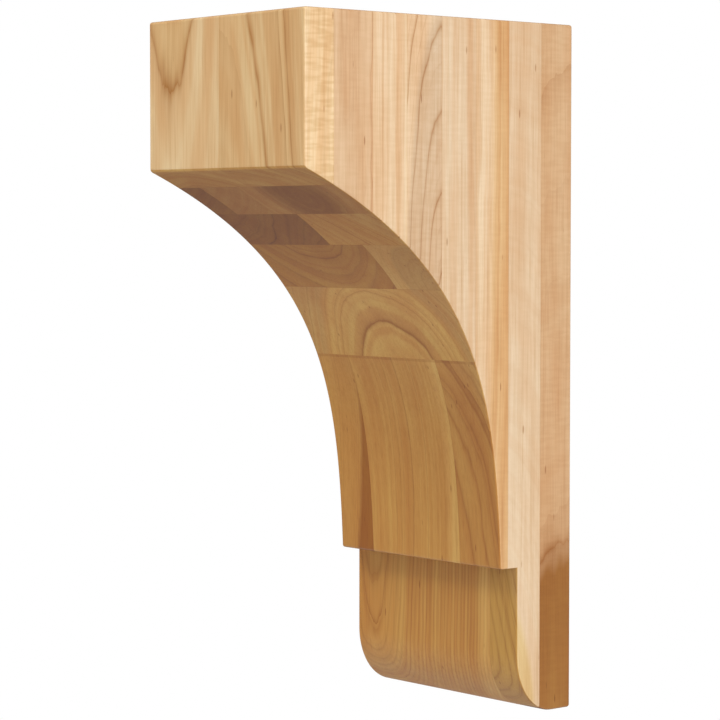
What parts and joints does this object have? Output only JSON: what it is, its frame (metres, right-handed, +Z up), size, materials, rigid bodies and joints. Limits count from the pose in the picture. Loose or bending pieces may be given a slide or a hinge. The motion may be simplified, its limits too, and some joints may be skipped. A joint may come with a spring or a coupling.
{
  "type": "wooden corbel bracket",
  "caption": "Wooden corbel bracket with a square head, a long cove, a flat ledge and a round-toed tail; fixes flat to a wall under a shelf or worktop.",
  "frame": {"origin": "middle of the flat back face, on the wall plane, half way across the width and half way up", "axes": "+Z up, +Y out of the back face into the wall, so the corbel stands out towards -Y, and X runs across the width"},
  "size_m": [0.127, 0.1778, 0.3556],
  "materials": {
    "maple": "satin varnish over sanded, edge-glued maple boards"
  },
  "bodies": {
    "root": {"corbel": "maple"}
  },
  "joints": []
}
